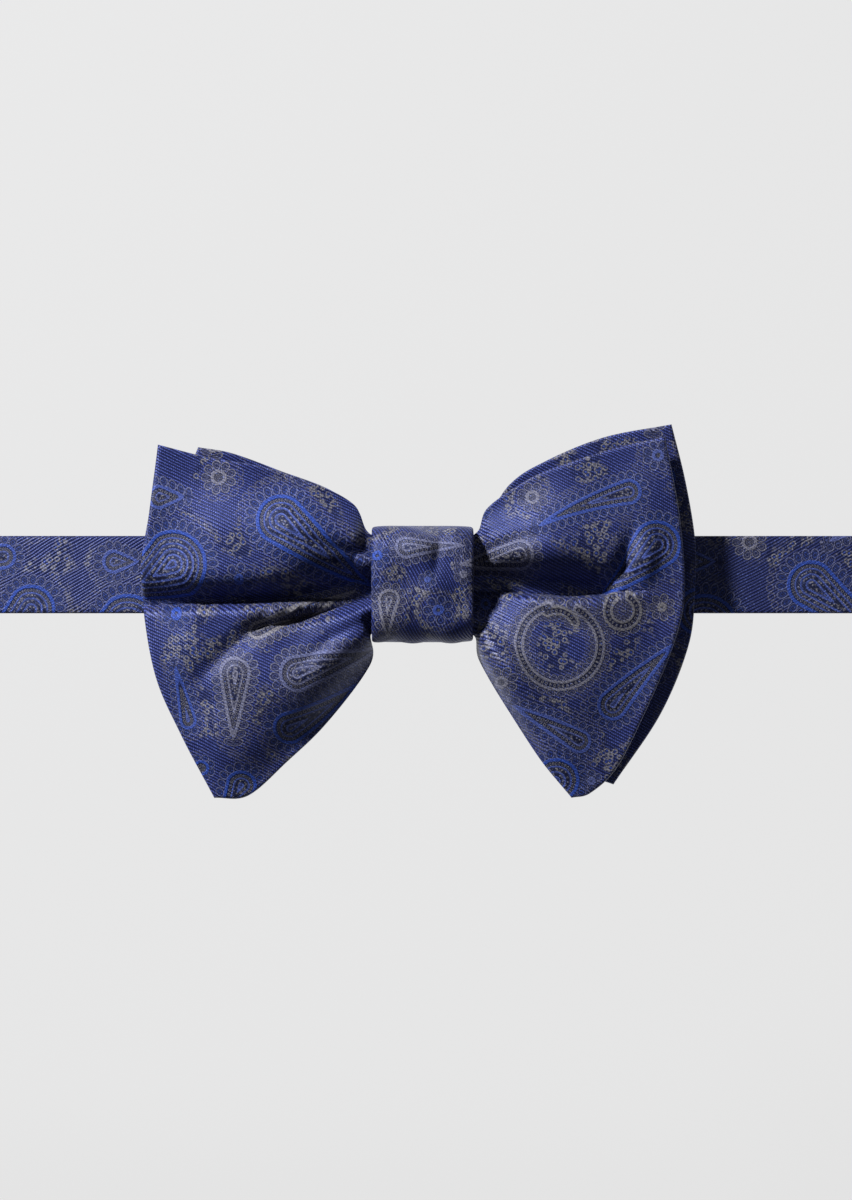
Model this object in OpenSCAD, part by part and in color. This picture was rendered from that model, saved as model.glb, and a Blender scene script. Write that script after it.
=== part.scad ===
// Pre-tied bow tie lying on its back. A front bow and a rear bow are gathered under a wrapped knot, on
// an adjustable neckband that closes with a hook and an eye. Millimetres, +Z is the front of the bow and
// +Y the wearer's up. The origin is on the surface that the tie lies on, under the middle of its box.

/* [Bow] */
// How far the left wing reaches from the middle of the knot
left_reach = 65; // [55:1:80]
// How far the right wing reaches from the middle of the knot
right_reach = 63; // [55:1:78]
// How far the highest corner of the bow stands above the middle of the knot
bow_rise = 37; // [31:1:46]
// How far the lowest tips of the bow hang below the middle of the knot
bow_drop = 49.4; // [42:0.2:60]
// Thickness of one ply of the silk
ply_t = 0.4; // [0.3:0.05:0.5]
// Thickness of the interlining in the bow and in the knot
interlining_t = 0.5; // [0.4:0.05:0.7]
// Half height of the gathered bow at the very middle of the waist
waist_half = 9.5; // [8:0.25:10]
// Height of the front bow's outer edge over the surface
front_edge_z = 11.5; // [9:0.5:15]
// Height of the rear bow's outer edge over the surface
rear_edge_z = 6.6; // [5:0.2:8]
// Height of the two puffed lobes where they stand tallest beside the knot
lobe_z = 16; // [13:0.5:20]

/* [Knot] */
// Width of the knot across the bow
knot_w = 23.4; // [19:0.1:29]
// How much taller the knot is than the band that passes through it
knot_over_band = 9; // [8:0.5:14]
// Depth of the knot from its back to its front
knot_d = 15.8; // [13:0.1:20]
// Radius of the knot's rounded front edges
knot_round = 6; // [3:0.5:6.5]
// Width of the edges that are turned under inside the knot wrap
turning_w = 6; // [4:0.5:8]
// Thickness of the thread that binds the waist
thread_t = 0.5; // [0.3:0.05:0.6]
// Turns of that thread
thread_turns = 4; // [2:1:6]
// Slip stitches that close the knot at its back
stitch_count = 5; // [3:1:8]

/* [Neckband] */
// Length from the middle of the knot to either end of the opened band
half_length = 215; // [179:1:258]
// Width of the band
band_w = 18; // [15:0.2:22]
// Thickness of one ply of the band
band_ply_t = 0.3; // [0.25:0.05:0.4]
// Thickness of the band's interlining
band_core_t = 0.4; // [0.3:0.05:0.5]
// How far the middle of the band lies above the middle of the knot
band_raise = 2.2; // [0:0.2:2.6]
// Distance from the middle of the knot to the first place where the band bends
first_bend = 45; // [40:1:52]
// Gap between two lengths of band at a bend
bend_gap = 1; // [0.8:0.1:2]
// Length of the doubled stretch between the adjuster and the hook
doubled_length = 29; // [27:1:40]
// How far the adjuster slides towards the knot
adjuster_travel = 40; // [20:1:48]

/* [Hardware] */
// Distance from the hook's bar to its tip
hook_length = 18; // [16:0.5:22]
// Width of the hook's tongue
tongue_w = 7; // [5:0.5:8]
// Distance from the eye's bar to its outer edge
eye_length = 12; // [11:0.5:15]
// Thickness of the hook's and the eye's plate
plate_t = 0.8; // [0.6:0.05:1]
// Radius of the adjuster's centre bar and the eye's bar
bar_r = 0.6; // [0.5:0.05:0.8]
// Radius of the hook's bar
hook_bar_r = 1; // [0.8:0.05:1.1]
// Length of the adjuster along the band
adjuster_length = 12.4; // [11:0.2:14]
// Width of the metal beside the band
side_w = 1.6; // [1.2:0.1:2]
// Space between the edge of the band and the metal beside it
side_gap = 0.6; // [0.4:0.1:1]

/* [Hidden] */

silk = "midnightblue";
lining = "antiquewhite";
thread = "black";
metal = "silver";

// Height of the knot, up and down the bow
knot_h = band_w + knot_over_band;

// The box is centred on the origin, so the knot's middle stands above it by half the difference.
knot_y = (bow_drop - bow_rise) / 2;
band_y = knot_y + band_raise;

// Play between pieces that touch or pass each other
clear = 0.05;
slide_clear = 0.1;
nip = 0.02;

// Room left inside the knot for the bow, and beside its mouth for the wings
knot_room = 0.8;
mouth_room = 0.1;

// Heights inside the knot, from the back up: wrap, band, thread, rear bow, front bow, thread, wrap.
stack_t = 2 * ply_t + interlining_t;
band_t = 2 * band_ply_t + band_core_t;
band_z = stack_t + clear;
thread_z = band_z + band_t + clear;
rear_waist_z = thread_z + thread_t + clear;
front_valley_z = rear_waist_z + stack_t + 2 * slide_clear;
thread_top_z = knot_d - stack_t - 3 * clear;
front_crest_z = thread_top_z - thread_t - clear - stack_t;
front_rim_z = (front_valley_z + front_crest_z) / 2;
gather_half = knot_h / 2 - stack_t - knot_room;

// Grid of a bow: steps along each wing, and steps from its lower edge to its upper edge.
wing_steps = 10;
rise_steps = 16;
arc_steps = 10;

// ---- Outlines of the wings. Each point is a share of the wing's reach and of the bow's rise or drop.

function shape(points, reach) =
    [for (p = points) [p[0] * reach, p[1] * (p[1] > 0 ? bow_rise : bow_drop)]];

// Upper and lower edges start at the waist and pass the side of the knot.
function upper_edge(points, reach) =
    concat([[0, waist_half], [sign(reach) * (knot_w / 2 + mouth_room), gather_half]], shape(points, reach));
function lower_edge(points, reach) =
    concat([[0, -waist_half], [sign(reach) * (knot_w / 2 + mouth_room), -gather_half]], shape(points, reach));

front_left = [
    lower_edge([[0.19, -0.385], [0.34, -0.65], [0.58, -0.94], [0.74, -1]], -left_reach),
    upper_edge([[0.31, 0.573], [0.52, 0.71], [0.74, 0.785], [0.94, 0.87]], -left_reach),
    shape([[0.94, 0.87], [0.97, 0.46], [1, 0.04], [0.955, -0.4], [0.86, -0.7], [0.74, -1]], -left_reach)
];
front_right = [
    lower_edge([[0.215, -0.36], [0.315, -0.59], [0.43, -0.82], [0.58, -1]], right_reach),
    upper_edge([[0.314, 0.59], [0.52, 0.74], [0.714, 0.85], [0.886, 0.92]], right_reach),
    shape([[0.886, 0.92], [0.94, 0.42], [0.958, -0.04], [0.917, -0.285], [0.825, -0.567], [0.714, -0.85],
           [0.58, -1]], right_reach)
];
rear_left = [
    lower_edge([[0.2, -0.36], [0.35, -0.62], [0.55, -0.88], [0.685, -0.94]], -left_reach),
    upper_edge([[0.3, 0.56], [0.515, 0.715], [0.68, 0.82], [0.8, 0.857]], -left_reach),
    shape([[0.8, 0.857], [0.9, 0.41], [0.925, 0.01], [0.877, -0.4], [0.785, -0.69], [0.685, -0.94]],
          -left_reach)
];
rear_right = [
    lower_edge([[0.222, -0.365], [0.333, -0.61], [0.49, -0.84], [0.7, -0.94]], right_reach),
    upper_edge([[0.317, 0.62], [0.454, 0.773], [0.667, 0.92], [0.913, 1]], right_reach),
    shape([[0.913, 1], [0.965, 0.64], [1, 0.27], [0.999, -0.03], [0.976, -0.286], [0.873, -0.61],
           [0.7, -0.94]], right_reach)
];

// ---- Smooth curves and surfaces

function tangent(points, i) =
    let (last = len(points) - 1)
    i == 0 ? points[1] - points[0]
    : i == last ? points[last] - points[last - 1]
    : (points[i + 1] - points[i - 1]) / 2;

// A smooth curve through the points; s runs from 0 at the first to 1 at the last.
function curve(points, s) =
    let (
        spans = len(points) - 1,
        i = min(floor(s * spans + 0.0001), spans - 1),
        t = s * spans - i,
        h = t * t * (3 - 2 * t)
    )
    (1 - h) * points[i] + h * points[i + 1]
    + t * (1 - t) * (1 - t) * tangent(points, i)
    - t * t * (1 - t) * tangent(points, i + 1);

function mix(a, b, t) = a + (b - a) * t;
function ease(t) = let (c = max(0, min(1, t))) c * c * (3 - 2 * c);

// A point of a wing: u runs from the waist to the outer edge, v from the lower to the upper edge.
function wing_point(wing, u, v) =
    let (
        low = wing[0],
        high = wing[1],
        outer = wing[2],
        low_end = low[len(low) - 1],
        high_end = high[len(high) - 1]
    )
    mix(curve(low, u), curve(high, u), v)
    + mix(mix(low[0], high[0], v), curve(outer, 1 - v), u)
    - mix(mix(low[0], low_end, u), mix(high[0], high_end, u), v);

// Height of the front bow's back: a deep valley runs out of the knot between two puffed lobes.
function front_height(u, v) =
    let (
        across = abs(2 * v - 1),
        crest = mix(mix(front_crest_z, lobe_z, ease((u - 0.2) / 0.3)), front_edge_z, ease((u - 0.5) / 0.5)),
        valley = mix(front_valley_z, crest, ease(u / 0.8)),
        rim = mix(front_rim_z, front_edge_z, ease(u))
    )
    across < 0.5
        ? mix(valley, crest, (1 - cos(360 * across)) / 2)
        : mix(crest, rim, (1 + cos(360 * across)) / 2);

// Height of the rear bow's back: almost flat, rising gently to its outer edge.
function rear_height(u, v) = mix(rear_waist_z, rear_edge_z, ease(u / 1.1) * 1.06);

// The grid of one ply surface over both wings, from the left tip to the right tip.
// level 0 is the back of the bow, 1 and 2 the two sides of the interlining, and 3 the face.
function bow_surface(left, right, is_front, level, inset) = [
    for (i = [-wing_steps + inset : wing_steps - inset]) [
        for (j = [inset : rise_steps - inset])
            let (
                u = abs(i) / wing_steps,
                v = j / rise_steps,
                p = wing_point(i < 0 ? left : right, u, v),
                rim = abs(i) == wing_steps || j == 0 || j == rise_steps,
                base = is_front ? front_height(u, v) : rear_height(u, v),
                middle = ply_t + interlining_t / 2,
                up = level == 0 ? 0
                    : level == 3 ? stack_t
                    : rim ? middle
                    : level == 1 ? ply_t
                    : ply_t + interlining_t
            )
            [p[0], p[1] + knot_y, base + up]
    ]
];

// A closed sheet between two grids of the same size, the lower one first.
module sheet(below, above) {
    rows = len(below);
    columns = len(below[0]);
    count = rows * columns;
    flat_points = [for (grid = [below, above], row = grid, p = row) p];
    function at(i, j) = i * columns + j;
    top = [
        for (i = [0 : rows - 2], j = [0 : columns - 2], half = [0, 1])
            half == 0
                ? [count + at(i, j), count + at(i, j + 1), count + at(i + 1, j + 1)]
                : [count + at(i, j), count + at(i + 1, j + 1), count + at(i + 1, j)]
    ];
    bottom = [for (f = top) [f[0] - count, f[2] - count, f[1] - count]];
    around = concat(
        [for (i = [0 : rows - 1]) at(i, 0)],
        [for (j = [1 : columns - 1]) at(rows - 1, j)],
        [for (i = [rows - 2 : -1 : 0]) at(i, columns - 1)],
        [for (j = [columns - 2 : -1 : 1]) at(0, j)]
    );
    side = [
        for (k = [0 : len(around) - 1], half = [0, 1])
            let (a = around[k], b = around[(k + 1) % len(around)])
            half == 0 ? [a, a + count, b + count] : [a, b + count, b]
    ];
    polyhedron(points = flat_points, faces = concat(top, bottom, side), convexity = 8);
}

module bow_layer(left, right, is_front, lower_level, upper_level, inset) {
    sheet(
        bow_surface(left, right, is_front, lower_level, inset),
        bow_surface(left, right, is_front, upper_level, inset)
    );
}

module front_bow_back() color(silk) bow_layer(front_left, front_right, true, 0, 1, 0);
module front_bow_interlining() color(lining) bow_layer(front_left, front_right, true, 1, 2, 1);
module front_bow_face() color(silk) bow_layer(front_left, front_right, true, 2, 3, 0);
module rear_bow_back() color(silk) bow_layer(rear_left, rear_right, false, 0, 1, 0);
module rear_bow_interlining() color(lining) bow_layer(rear_left, rear_right, false, 1, 2, 1);
module rear_bow_face() color(silk) bow_layer(rear_left, rear_right, false, 2, 3, 0);

// ---- Knot

function arc(centre, r, from, to) =
    [for (k = [0 : arc_steps]) let (a = mix(from, to, k / arc_steps)) centre + r * [cos(a), sin(a)]];

// A rounded box seen along X: back corners of one radius, front corners of another.
function loop_outline(half, z0, z1, back_r, front_r) = concat(
    arc([half - back_r, z0 + back_r], back_r, -90, 0),
    arc([half - front_r, z1 - front_r], front_r, 0, 90),
    arc([-half + front_r, z1 - front_r], front_r, 90, 180),
    arc([-half + back_r, z0 + back_r], back_r, 180, 270)
);

// Extrudes an outline of Y and Z along X, centred.
module along_x(width) rotate([90, 0, 90]) translate([0, 0, -width / 2]) linear_extrude(width) children();

knot_back_round = 1.5;
least_round = 0.1;

// A band around the waist between two depths inside the knot's outer skin.
module knot_loop(outer_depth, inner_depth, width) {
    translate([0, knot_y, 0]) along_x(width) difference() {
        polygon(loop_outline(knot_h / 2 - outer_depth, outer_depth, knot_d - outer_depth,
                             knot_back_round - outer_depth, knot_round - outer_depth));
        polygon(loop_outline(knot_h / 2 - inner_depth, inner_depth, knot_d - inner_depth,
                             max(knot_back_round - inner_depth, least_round), knot_round - inner_depth));
    }
}

seam_gap = 0.4;
stitch_length = 3;
stitch_w = 0.5;
stitch_t = 0.3;

// The open seam along the back of the knot, where its two ends meet
module knot_seam() {
    translate([-knot_w, knot_y - seam_gap / 2, -stack_t]) cube([2 * knot_w, seam_gap, 3 * stack_t - clear]);
}

module each_stitch() {
    for (k = [0 : stitch_count - 1])
        translate([(k - (stitch_count - 1) / 2) * knot_w / (stitch_count + 1), knot_y, 0]) children();
}

module knot_wrap() color(silk) difference() {
    knot_loop(0, stack_t, knot_w);
    knot_loop(ply_t, ply_t + interlining_t, knot_w - 2 * ply_t);
    knot_loop(ply_t, stack_t + nip, knot_w - 2 * turning_w);
    knot_seam();
    each_stitch() translate([-stitch_w / 2 - nip, -stitch_length / 2 - nip, -stitch_t])
        cube([stitch_w + 2 * nip, stitch_length + 2 * nip, 2 * stitch_t + nip]);
    tack_blocks(nip);
}

module knot_interlining() color(lining) difference() {
    knot_loop(ply_t + nip, ply_t + interlining_t - nip, knot_w - 2 * ply_t - 2 * nip);
    knot_seam();
}

module knot_stitches() color(thread)
    each_stitch() translate([-stitch_w / 2, -stitch_length / 2, 0]) cube([stitch_w, stitch_length, stitch_t]);

thread_round = 3;
module waist_thread() color(thread) for (k = [0 : thread_turns - 1])
    translate([(k - (thread_turns - 1) / 2) * 2 * thread_t, knot_y, 0]) along_x(thread_t) difference() {
        polygon(loop_outline(waist_half + 2 * thread_t, thread_z, thread_top_z,
                             thread_t, thread_round + thread_t));
        polygon(loop_outline(waist_half + thread_t, thread_z + thread_t, thread_top_z - thread_t,
                             least_round, thread_round));
    }

// ---- Neckband. A path lists points of X and Z along the band's outer side; its thickness lies to the
// right of the way that the path runs.

function right_of(path, i) =
    let (
        a = path[max(i - 1, 0)],
        b = path[min(i + 1, len(path) - 1)],
        d = (b - a) / norm(b - a)
    )
    [d[1], -d[0]];
function beside(path, depth) = [for (i = [0 : len(path) - 1]) path[i] + depth * right_of(path, i)];
function backwards(path) = [for (i = [len(path) - 1 : -1 : 0]) path[i]];

// The same path, a little longer at both ends.
function longer(path, by) =
    let (
        last = len(path) - 1,
        d0 = (path[0] - path[1]) / norm(path[0] - path[1]),
        d1 = (path[last] - path[last - 1]) / norm(path[last] - path[last - 1])
    )
    [for (i = [0 : last]) i == 0 ? path[0] + by * d0 : i == last ? path[last] + by * d1 : path[i]];

// Extrudes an outline of X and Z along Y, centred on the band.
module across_band(width) {
    translate([0, band_y + width / 2, 0]) rotate([90, 0, 0]) linear_extrude(width) children();
}

module strap(path, from_depth, to_depth, width) {
    across_band(width) polygon(concat(beside(path, from_depth), backwards(beside(path, to_depth))));
}

// A folded tube of silk around its interlining. The ends are open, as where two lengths meet.
module strap_shell(path) difference() {
    strap(path, 0, band_t, band_w);
    strap(longer(path, 1), band_ply_t, band_t - band_ply_t, band_w - 2 * band_ply_t);
}

module strap_core(path) {
    strap(path, band_ply_t + nip, band_t - band_ply_t - nip, band_w - 2 * band_ply_t - 2 * nip);
}

// Along the band, from the knot out: the bends, the adjuster and the hook on the right, the eye on the left
hook_x = half_length - hook_length;
eye_x = half_length - eye_length;
adjuster_x = hook_x - doubled_length;
ramp_length = 6;
adjuster_stop = 0.8;
last_bend = adjuster_x - adjuster_travel - adjuster_length / 2 - ramp_length - adjuster_stop;
bends = [first_bend, (first_bend + last_bend) / 2, last_bend];
half_gap = bend_gap / 2;

// The band wraps the adjuster's bar in a loop, and runs over that loop at this height.
loop_r = bar_r + clear;
loop_outer_r = loop_r + band_t;
run_z = 2 * loop_outer_r + slide_clear;
run_top_z = run_z + band_t;
hook_z = run_top_z / 2;
bar_z = loop_outer_r;
lap_z = 2 * band_t + clear;
lap_length = 7.5;
fold_straight = 3;
run_length = 20.5;
run_end = hook_x - fold_straight - run_length;

// The strap's rise over the back wall of the knot
pass_room = 1.3;
knot_pass = knot_w / 2 + pass_room;
knot_ramp = 7;
centre_path = [
    [first_bend - half_gap, 0], [knot_pass + knot_ramp, 0], [knot_pass, band_z],
    [-knot_pass, band_z], [-knot_pass - knot_ramp, 0], [-first_bend + half_gap, 0]
];

function flat_path(from, to) = [[to, 0], [from, 0]];

// A strap that turns round a bar at x and laps back: it leaves the turn, comes down and lies flat.
lap_leaves = 2;
lap_lands = 5;
function loop_path(x, start) = concat(
    [[start, 0]],
    arc([x, loop_outer_r], loop_outer_r, -90, -270),
    [[x + lap_leaves, 2 * loop_outer_r], [x + lap_lands, lap_z], [x + lap_length, lap_z]]
);

// Thread blocks through the layers that they fasten. The knot's blocks hold the band to the wrap's turnings.
tack_w = 1.6;
tack_from_edge = 3;
tack_x = knot_w / 2 - tack_from_edge;
tack_h = 8;
tack_z = ply_t + interlining_t;
module tack_blocks(grow) {
    for (side = [-1, 1])
        translate([side * tack_x - tack_w / 2 - grow, band_y - tack_h / 2 - grow, tack_z - grow])
            cube([tack_w + 2 * grow, tack_h + 2 * grow, band_z + band_t - tack_z + 2 * grow]);
}

// A bar tack through both layers of a loop, at its outer end
module loop_tack(x, grow) {
    translate([x - tack_w / 2 - grow, band_y - band_w / 3 - grow, band_ply_t - grow])
        cube([tack_w + 2 * grow, band_w * 2 / 3 + 2 * grow, lap_z - 2 * band_ply_t + 2 * grow]);
}
tack_inset = 1.6;
eye_tack_x = -(eye_x - lap_length + tack_inset);
adjuster_tack_x = adjuster_x + lap_length - tack_inset;

module band_centre() color(silk) difference() {
    strap_shell(centre_path);
    tack_blocks(nip);
}
module band_centre_interlining() color(lining) difference() {
    strap_core(centre_path);
    tack_blocks(nip);
}
module band_tacks() color(thread) tack_blocks(0);

module left_band_near() color(silk) strap_shell(flat_path(-bends[1] + half_gap, -bends[0] - half_gap));
module left_band_near_interlining() color(lining)
    strap_core(flat_path(-bends[1] + half_gap, -bends[0] - half_gap));
module left_band_middle() color(silk) strap_shell(flat_path(-bends[2] + half_gap, -bends[1] - half_gap));
module left_band_middle_interlining() color(lining)
    strap_core(flat_path(-bends[2] + half_gap, -bends[1] - half_gap));
module right_band_near() color(silk) strap_shell(flat_path(bends[0] + half_gap, bends[1] - half_gap));
module right_band_near_interlining() color(lining)
    strap_core(flat_path(bends[0] + half_gap, bends[1] - half_gap));
module right_band_middle() color(silk) strap_shell(flat_path(bends[1] + half_gap, bends[2] - half_gap));
module right_band_middle_interlining() color(lining)
    strap_core(flat_path(bends[1] + half_gap, bends[2] - half_gap));

// The left end wraps the eye's bar from below and laps back onto itself.
left_end_path = loop_path(-eye_x, -bends[2] - half_gap);
module left_band_end() color(silk) difference() {
    strap_shell(left_end_path);
    loop_tack(eye_tack_x, nip);
}
module left_band_end_interlining() color(lining) difference() {
    strap_core(left_end_path);
    loop_tack(eye_tack_x, nip);
}
module eye_bar_tack() color(thread) loop_tack(eye_tack_x, 0);

// The right end climbs to the height of the adjuster's loop and runs on over it.
right_end_path = [[run_end, run_z], [bends[2] + half_gap + ramp_length, run_z], [bends[2] + half_gap, 0]];
module right_band_end() color(silk) strap_shell(right_end_path);
module right_band_end_interlining() color(lining) strap_core(right_end_path);
module band_run() color(silk)
    strap([[hook_x - fold_straight, run_z], [run_end, run_z]], 0, band_t, band_w);

// The fold around the hook's bar
hook_fold_path = concat(
    [[hook_x - fold_straight, run_top_z]],
    arc([hook_x, hook_z], hook_z, 90, -90),
    [[hook_x - fold_straight, 0]]
);
module hook_fold() color(silk) strap(hook_fold_path, 0, band_t, band_w);

lap_gap = 0.5;
loop_end = adjuster_x + lap_length + lap_gap;
module adjuster_tail() color(silk)
    strap(flat_path(loop_end, hook_x - fold_straight), 0, band_t, band_w);
module adjuster_loop() color(silk) difference() {
    strap(loop_path(adjuster_x, loop_end), 0, band_t, band_w);
    loop_tack(adjuster_tack_x, nip);
}
module adjuster_bar_tack() color(thread) loop_tack(adjuster_tack_x, 0);

// ---- Metal

inner_half = band_w / 2 + side_gap;
outer_half = inner_half + side_w;

// A round bar across the band
module bar(x, z, r) {
    translate([x, band_y, z]) rotate([90, 0, 0])
        cylinder(h = 2 * outer_half - side_w, r = r, center = true, $fn = 48);
}

// A pair of upright plates beside the band, from an outline of X and Z
module sides() {
    for (side = [-1, 1])
        translate([0, side * (inner_half + side_w / 2), 0]) across_band(side_w) children();
}

module flat_plate(x0, x1, z, half) {
    translate([x0, band_y - half, z - plate_t / 2]) cube([x1 - x0, 2 * half, plate_t]);
}

rim_bar_w = 1.6;
rim_bar_t = 0.9;
side_foot = 2;
module adjuster() color(metal) {
    reach = adjuster_length / 2;
    low = bar_z - bar_r;
    high = run_top_z + slide_clear;
    bar(adjuster_x, bar_z, bar_r);
    sides() polygon([
        [adjuster_x - reach, high], [adjuster_x - reach, high + rim_bar_t],
        [adjuster_x + reach, high + rim_bar_t], [adjuster_x + reach, high],
        [adjuster_x + side_foot, low], [adjuster_x - side_foot, low]
    ]);
    for (x = [adjuster_x - reach, adjuster_x + reach - rim_bar_w])
        translate([x, band_y - outer_half, high]) cube([rim_bar_w, 2 * outer_half, rim_bar_t]);
}

// The tongue turns back under the plate and leaves room for the eye's rim.
plate_room = 1;
plate_lap = 0.5;
hook_plate_start = hook_z + plate_room;
hook_plate_length = 4.8;
tongue_return = 6;
module hook() color(metal) {
    turn_r = (hook_z + plate_t / 2) / 2;
    turn_x = hook_x + hook_length - turn_r;
    plate_end = hook_x + hook_plate_start + hook_plate_length;
    bar(hook_x, hook_z, hook_bar_r);
    for (side = [-1, 1])
        translate([hook_x, band_y + side * (inner_half + side_w / 2) - side_w / 2, hook_z - plate_t / 2])
            cube([hook_plate_start + plate_lap, side_w, plate_t]);
    flat_plate(hook_x + hook_plate_start, plate_end, hook_z, outer_half);
    flat_plate(plate_end - plate_lap, turn_x, hook_z, tongue_w / 2);
    across_band(tongue_w) polygon(concat(
        arc([turn_x, turn_r], turn_r, 90, -90), [[turn_x - tongue_return, 0]],
        [[turn_x - tongue_return, plate_t]], arc([turn_x, turn_r], turn_r - plate_t, -90, 90)
    ));
}

eye_rim_w = 2.2;
eye_inner_rim_w = 1.8;
eye_slot_half = 5;
eye_room = 0.8;
module eye() color(metal) difference() {
    inner_x = eye_x + loop_outer_r + eye_room;
    union() {
        bar(-eye_x, bar_z, bar_r);
        for (y = [band_y - outer_half, band_y + inner_half])
            translate([-inner_x - plate_lap, y, bar_z - plate_t / 2])
                cube([inner_x - eye_x + plate_lap, side_w, plate_t]);
        flat_plate(-half_length, -inner_x, bar_z, outer_half);
    }
    translate([-half_length + eye_rim_w, band_y - eye_slot_half, 0])
        cube([half_length - eye_rim_w - inner_x - eye_inner_rim_w, 2 * eye_slot_half, 2 * bar_z]);
}

front_bow_face();
front_bow_interlining();
front_bow_back();
rear_bow_face();
rear_bow_interlining();
rear_bow_back();
waist_thread();
knot_wrap();
knot_interlining();
knot_stitches();
band_centre();
band_centre_interlining();
band_tacks();
left_band_near();
left_band_near_interlining();
left_band_middle();
left_band_middle_interlining();
left_band_end();
left_band_end_interlining();
eye_bar_tack();
eye();
right_band_near();
right_band_near_interlining();
right_band_middle();
right_band_middle_interlining();
right_band_end();
right_band_end_interlining();
band_run();
hook_fold();
hook();
adjuster_tail();
adjuster_loop();
adjuster_bar_tack();
adjuster();
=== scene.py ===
"""A pre-tied bow tie of paisley jacquard silk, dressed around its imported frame.

Lengths inside the classes are in millimetres: x across the bow and y up the bow, both from the middle of the
knot, and z up from the back of the tie. TO_FRAME turns them into the frame's metres.
"""

import logging
import math
from collections.abc import Callable, Sequence
from dataclasses import dataclass
from enum import Enum

import bmesh
import bpy
import numpy as np
from mathutils import Matrix, Vector


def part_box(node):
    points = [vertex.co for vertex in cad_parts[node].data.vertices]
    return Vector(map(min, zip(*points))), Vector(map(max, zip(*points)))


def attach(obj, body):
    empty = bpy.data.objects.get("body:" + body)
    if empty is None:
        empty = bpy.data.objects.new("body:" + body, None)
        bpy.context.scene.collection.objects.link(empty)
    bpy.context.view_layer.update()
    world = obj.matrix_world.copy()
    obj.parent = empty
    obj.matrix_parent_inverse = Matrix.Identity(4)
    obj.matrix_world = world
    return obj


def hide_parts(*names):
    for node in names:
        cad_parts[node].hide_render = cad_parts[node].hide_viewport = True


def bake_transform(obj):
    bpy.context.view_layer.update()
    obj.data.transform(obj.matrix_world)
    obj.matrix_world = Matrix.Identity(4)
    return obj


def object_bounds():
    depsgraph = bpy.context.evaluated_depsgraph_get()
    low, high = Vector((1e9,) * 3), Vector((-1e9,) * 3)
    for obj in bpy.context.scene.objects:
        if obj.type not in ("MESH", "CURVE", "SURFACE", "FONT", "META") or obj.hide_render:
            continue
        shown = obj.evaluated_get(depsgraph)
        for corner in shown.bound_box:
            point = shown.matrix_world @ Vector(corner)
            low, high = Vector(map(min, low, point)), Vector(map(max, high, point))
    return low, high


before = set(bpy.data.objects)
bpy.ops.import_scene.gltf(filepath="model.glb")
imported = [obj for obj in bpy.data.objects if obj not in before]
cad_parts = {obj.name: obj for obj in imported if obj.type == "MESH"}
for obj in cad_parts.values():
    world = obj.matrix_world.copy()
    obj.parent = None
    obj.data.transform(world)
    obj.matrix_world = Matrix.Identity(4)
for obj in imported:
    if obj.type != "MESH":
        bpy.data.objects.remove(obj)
CAD_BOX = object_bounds()

MM = 0.001
LOG = logging.getLogger("bow_tie")

Point = tuple[float, float]
Colour = tuple[float, ...]
Grid = np.ndarray


def dye(red: int, green: int, blue: int) -> Colour:
    """A shader colour from its red, green and blue as a screen gives them, 0 to 255."""
    shares = (c / 255 for c in (red, green, blue))
    return (*(s / 12.92 if s <= 0.04 else ((s + 0.055) / 1.055) ** 2.4 for s in shares), 1.0)


def ease(value: Grid) -> Grid:
    """A smooth step from 0 at 0 to 1 at 1."""
    held = np.clip(value, 0, 1)
    return held * held * (3 - 2 * held)


def mix(low: Grid, high: Grid, share: Grid) -> Grid:
    """The value at a share of the way from low to high."""
    return low + (high - low) * share


# ---- Where the frame has things


@dataclass(frozen=True)
class Frame:
    """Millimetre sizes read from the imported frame."""

    @staticmethod
    def low(node: str) -> Vector:
        """A node's lowest corner."""
        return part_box(node)[0] / MM

    @staticmethod
    def high(node: str) -> Vector:
        """A node's highest corner."""
        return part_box(node)[1] / MM


KNOT_Y = (Frame.low("knot_wrap").y + Frame.high("knot_wrap").y) / 2
BAND_Y = (Frame.low("band_centre").y + Frame.high("band_centre").y) / 2 - KNOT_Y
BAND_HALF = (Frame.high("band_centre").y - Frame.low("band_centre").y) / 2
TO_FRAME = Matrix.Diagonal((MM, MM, MM, 1.0)) @ Matrix.Translation((0, KNOT_Y, 0))


# ---- Shader bench


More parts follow.
